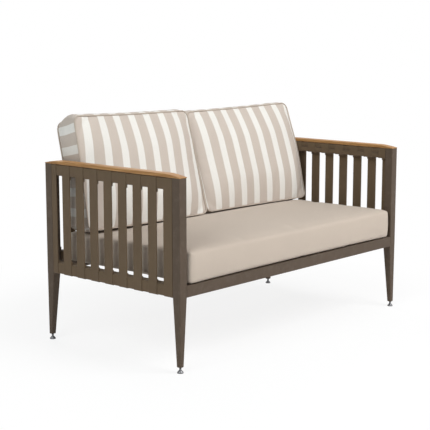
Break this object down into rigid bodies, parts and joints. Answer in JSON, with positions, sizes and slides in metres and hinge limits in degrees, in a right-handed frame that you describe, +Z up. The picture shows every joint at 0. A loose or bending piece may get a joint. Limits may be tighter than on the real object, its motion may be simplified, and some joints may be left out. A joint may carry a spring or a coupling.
{
  "type": "rope bench",
  "caption": "Patio bench with flat rope straps wound round the rails of its arms and back, teak arm caps, slatted deck, striped back cushions and levelling feet.",
  "frame": {"origin": "on the floor, under the middle of the bench's whole outline", "axes": "+X across the bench to the sitter's left hand as seen from the front, towards the right of the front view; +Y towards the back panel; +Z up"},
  "size_m": [1.302, 0.694, 0.8408],
  "materials": {
    "frame_paint": "powder coated aluminium, satin brown",
    "strap_rope": "flat braided outdoor rope, dark brown",
    "teak": "oiled teak",
    "steel": "zinc plated steel",
    "seat_fabric": "woven outdoor fabric, plain beige",
    "stripe_fabric": "woven outdoor fabric, beige and white stripes with piping"
  },
  "bodies": {
    "frame": {"front_left_leg": "frame_paint", "front_right_leg": "frame_paint", "rear_left_leg": "frame_paint", "rear_right_leg": "frame_paint", "front_seat_rail": "frame_paint", "rear_seat_rail": "frame_paint", "left_seat_rail": "frame_paint", "right_seat_rail": "frame_paint", "left_arm_rail": "frame_paint", "right_arm_rail": "frame_paint", "back_top_rail": "frame_paint", "back_lower_rail": "frame_paint", "seat_slats": "frame_paint", "leg_inserts": "steel", "left_arm_straps": "strap_rope", "right_arm_straps": "strap_rope", "back_straps": "strap_rope", "left_rail_wraps": "strap_rope", "right_rail_wraps": "strap_rope", "back_rail_wraps": "strap_rope", "left_arm_cap": "teak", "right_arm_cap": "teak", "arm_cap_screws": "steel"},
    "front_left_foot": {"front_left_pad": "steel"},
    "front_right_foot": {"front_right_pad": "steel"},
    "rear_left_foot": {"rear_left_pad": "steel"},
    "rear_right_foot": {"rear_right_pad": "steel"},
    "front_left_screw": {"front_left_stud": "steel"},
    "front_right_screw": {"front_right_stud": "steel"},
    "rear_left_screw": {"rear_left_stud": "steel"},
    "rear_right_screw": {"rear_right_stud": "steel"},
    "seat": {"seat_cushion": "seat_fabric"},
    "left_back": {"left_back_cushion": "stripe_fabric"},
    "right_back": {"right_back_cushion": "stripe_fabric"}
  },
  "joints": [
    {"name": "front_left_travel", "type": "slide", "parent": "frame", "child": "front_left_foot", "axis": [0, 0, 1], "range_m": [-0.01, 0.006]},
    {"name": "front_right_travel", "type": "slide", "parent": "frame", "child": "front_right_foot", "axis": [0, 0, 1], "range_m": [-0.01, 0.006]},
    {"name": "rear_left_travel", "type": "slide", "parent": "frame", "child": "rear_left_foot", "axis": [0, 0, 1], "range_m": [-0.01, 0.006]},
    {"name": "rear_right_travel", "type": "slide", "parent": "frame", "child": "rear_right_foot", "axis": [0, 0, 1], "range_m": [-0.01, 0.006]},
    {"name": "front_left_turn", "type": "hinge", "parent": "front_left_foot", "child": "front_left_screw", "pos_m": [-0.64, -0.3235, 0.02], "axis": [0, 0, 1], "range_deg": [-2880, 1728]},
    {"name": "front_right_turn", "type": "hinge", "parent": "front_right_foot", "child": "front_right_screw", "pos_m": [0.64, -0.3235, 0.02], "axis": [0, 0, 1], "range_deg": [-2880, 1728]},
    {"name": "rear_left_turn", "type": "hinge", "parent": "rear_left_foot", "child": "rear_left_screw", "pos_m": [-0.64, 0.3365, 0.02], "axis": [0, 0, 1], "range_deg": [-2880, 1728]},
    {"name": "rear_right_turn", "type": "hinge", "parent": "rear_right_foot", "child": "rear_right_screw", "pos_m": [0.64, 0.3365, 0.02], "axis": [0, 0, 1], "range_deg": [-2880, 1728]},
    {"name": "seat_lift", "type": "slide", "parent": "frame", "child": "seat", "axis": [0, 0, 1], "range_m": [0, 0.12]},
    {"name": "left_back_lift", "type": "slide", "parent": "seat", "child": "left_back", "axis": [0, 0, 1], "range_m": [0, 0.25]},
    {"name": "right_back_lift", "type": "slide", "parent": "seat", "child": "right_back", "axis": [0, 0, 1], "range_m": [0, 0.25]}
  ],
  "couplings": [
    {"joint": "front_left_turn", "follows": "front_left_travel", "rad_per_m": 5026.5},
    {"joint": "front_right_turn", "follows": "front_right_travel", "rad_per_m": 5026.5},
    {"joint": "rear_left_turn", "follows": "rear_left_travel", "rad_per_m": 5026.5},
    {"joint": "rear_right_turn", "follows": "rear_right_travel", "rad_per_m": 5026.5}
  ]
}
